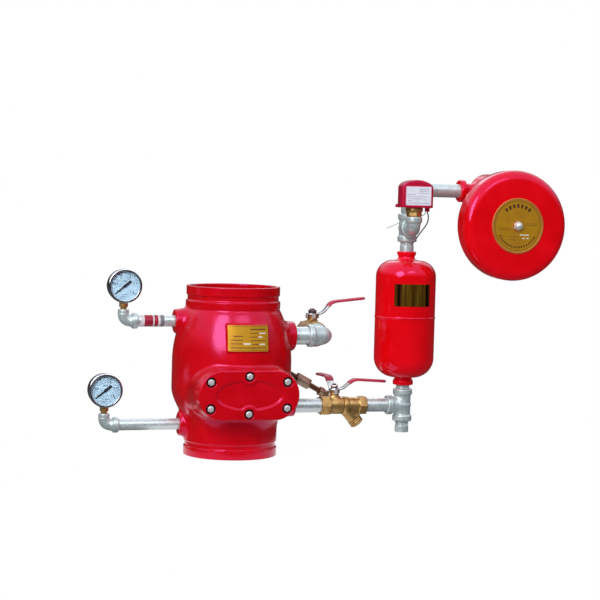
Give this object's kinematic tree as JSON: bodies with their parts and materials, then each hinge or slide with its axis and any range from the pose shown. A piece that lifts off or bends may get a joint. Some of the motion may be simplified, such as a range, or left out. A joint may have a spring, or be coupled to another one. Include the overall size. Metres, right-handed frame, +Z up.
{
  "type": "wet alarm valve station",
  "caption": "Grooved wet alarm check valve with gauges, lever drain and test valves, strainer, retard chamber, pressure switch and water motor gong for a sprinkler riser.",
  "frame": {"origin": "centre of the lower grooved end face of the valve body", "axes": "+X to the gong side, +Y to the back, +Z up along the riser towards the system side"},
  "size_m": [0.8562, 0.2684, 0.515],
  "materials": {
    "red_paint": "gloss enamel over cast iron and steel",
    "galvanised": "mottled hot-dip zinc",
    "brass": "cast and turned brass",
    "gold_plate": "thin printed brass sheet",
    "zinc_steel": "bright zinc plate",
    "bright_steel": "polished steel",
    "chrome": "polished",
    "red_vinyl": "dipped soft vinyl",
    "black_rubber": "moulded",
    "lens": "clear flat pane",
    "dial_face": "matt white enamel",
    "black_paint": "matt black",
    "seat_plastic": "turned white fluoroplastic",
    "copper": "dull drawn tube",
    "dark_lead": "insulated wire",
    "green_lead": "insulated wire"
  },
  "bodies": {
    "station": {"valve_body": "red_paint", "hand_hole_cover": "red_paint", "retard_chamber": "red_paint", "switch_housing": "red_paint", "water_motor_housing": "red_paint", "gong": "red_paint", "gauge_pipes": "galvanised", "gauge_elbows": "galvanised", "drain_nipple": "galvanised", "drain_elbow": "galvanised", "trim_pipes": "galvanised", "lower_tee": "galvanised", "drip_nipple": "galvanised", "chamber_nipples": "galvanised", "upper_tee": "galvanised", "switch_elbow": "galvanised", "bell_elbow": "galvanised", "bell_pipe": "galvanised", "seat_ring": "brass", "gauge_sockets": "brass", "drain_valve_body": "brass", "alarm_valve_body": "brass", "test_valve_body": "brass", "packing_nuts": "brass", "strainer_body": "brass", "strainer_cap": "brass", "switch_fitting": "brass", "bypass_fittings": "brass", "test_elbow": "brass", "nameplate": "gold_plate", "chamber_plate": "gold_plate", "gong_plate": "gold_plate", "cover_bolts": "zinc_steel", "gong_bolt": "zinc_steel", "clapper_hinge_pin": "bright_steel", "strainer_screen": "bright_steel", "gauge_cases": "bright_steel", "gauge_bezels": "chrome", "cover_gasket": "black_rubber", "gauge_lenses": "lens", "gauge_dials": "dial_face", "ball_seats": "seat_plastic", "bypass_tube": "copper", "lead_dark": "dark_lead", "lead_green": "green_lead"},
    "clapper": {"clapper": "brass", "clapper_facing": "black_rubber"},
    "drain_lever": {"drain_ball": "bright_steel", "drain_lever": "zinc_steel", "drain_grip": "red_vinyl"},
    "alarm_lever": {"alarm_ball": "bright_steel", "alarm_lever": "zinc_steel", "alarm_grip": "red_vinyl"},
    "test_lever": {"test_ball": "bright_steel", "test_lever": "zinc_steel", "test_grip": "red_vinyl"},
    "upper_pointer": {"upper_gauge_pointer": "black_paint"},
    "lower_pointer": {"lower_gauge_pointer": "black_paint"},
    "striker": {"striker": "zinc_steel", "impeller": "brass"}
  },
  "joints": [
    {"name": "clapper_hinge", "type": "hinge", "parent": "station", "child": "clapper", "pos_m": [0, 0.076, 0.11], "axis": [-1, 0, 0], "range_deg": [0, 62]},
    {"name": "drain_lever_turn", "type": "hinge", "parent": "station", "child": "drain_lever", "pos_m": [0.1646, 0.055, 0.21], "axis": [0, 0, 1], "range_deg": [0, 90]},
    {"name": "alarm_lever_turn", "type": "hinge", "parent": "station", "child": "alarm_lever", "pos_m": [0.1925, 0, 0.0843], "axis": [0, 0, 1], "range_deg": [-90, 0]},
    {"name": "test_lever_turn", "type": "hinge", "parent": "station", "child": "test_lever", "pos_m": [0.2074, 0.045, 0.079], "axis": [0, 0, 1], "range_deg": [-90, 0]},
    {"name": "upper_pointer_turn", "type": "hinge", "parent": "station", "child": "upper_pointer", "pos_m": [-0.196, 0, 0.2965], "axis": [0, 1, 0], "range_deg": [0, 258], "stiffness_Nm_per_rad": 0.001},
    {"name": "lower_pointer_turn", "type": "hinge", "parent": "station", "child": "lower_pointer", "pos_m": [-0.2265, 0, 0.1153], "axis": [0, 1, 0], "range_deg": [0, 258], "stiffness_Nm_per_rad": 0.001},
    {"name": "striker_spin", "type": "hinge", "parent": "station", "child": "striker", "pos_m": [0.5005, 0, 0.4155], "axis": [0, 1, 0], "continuous": true}
  ]
}
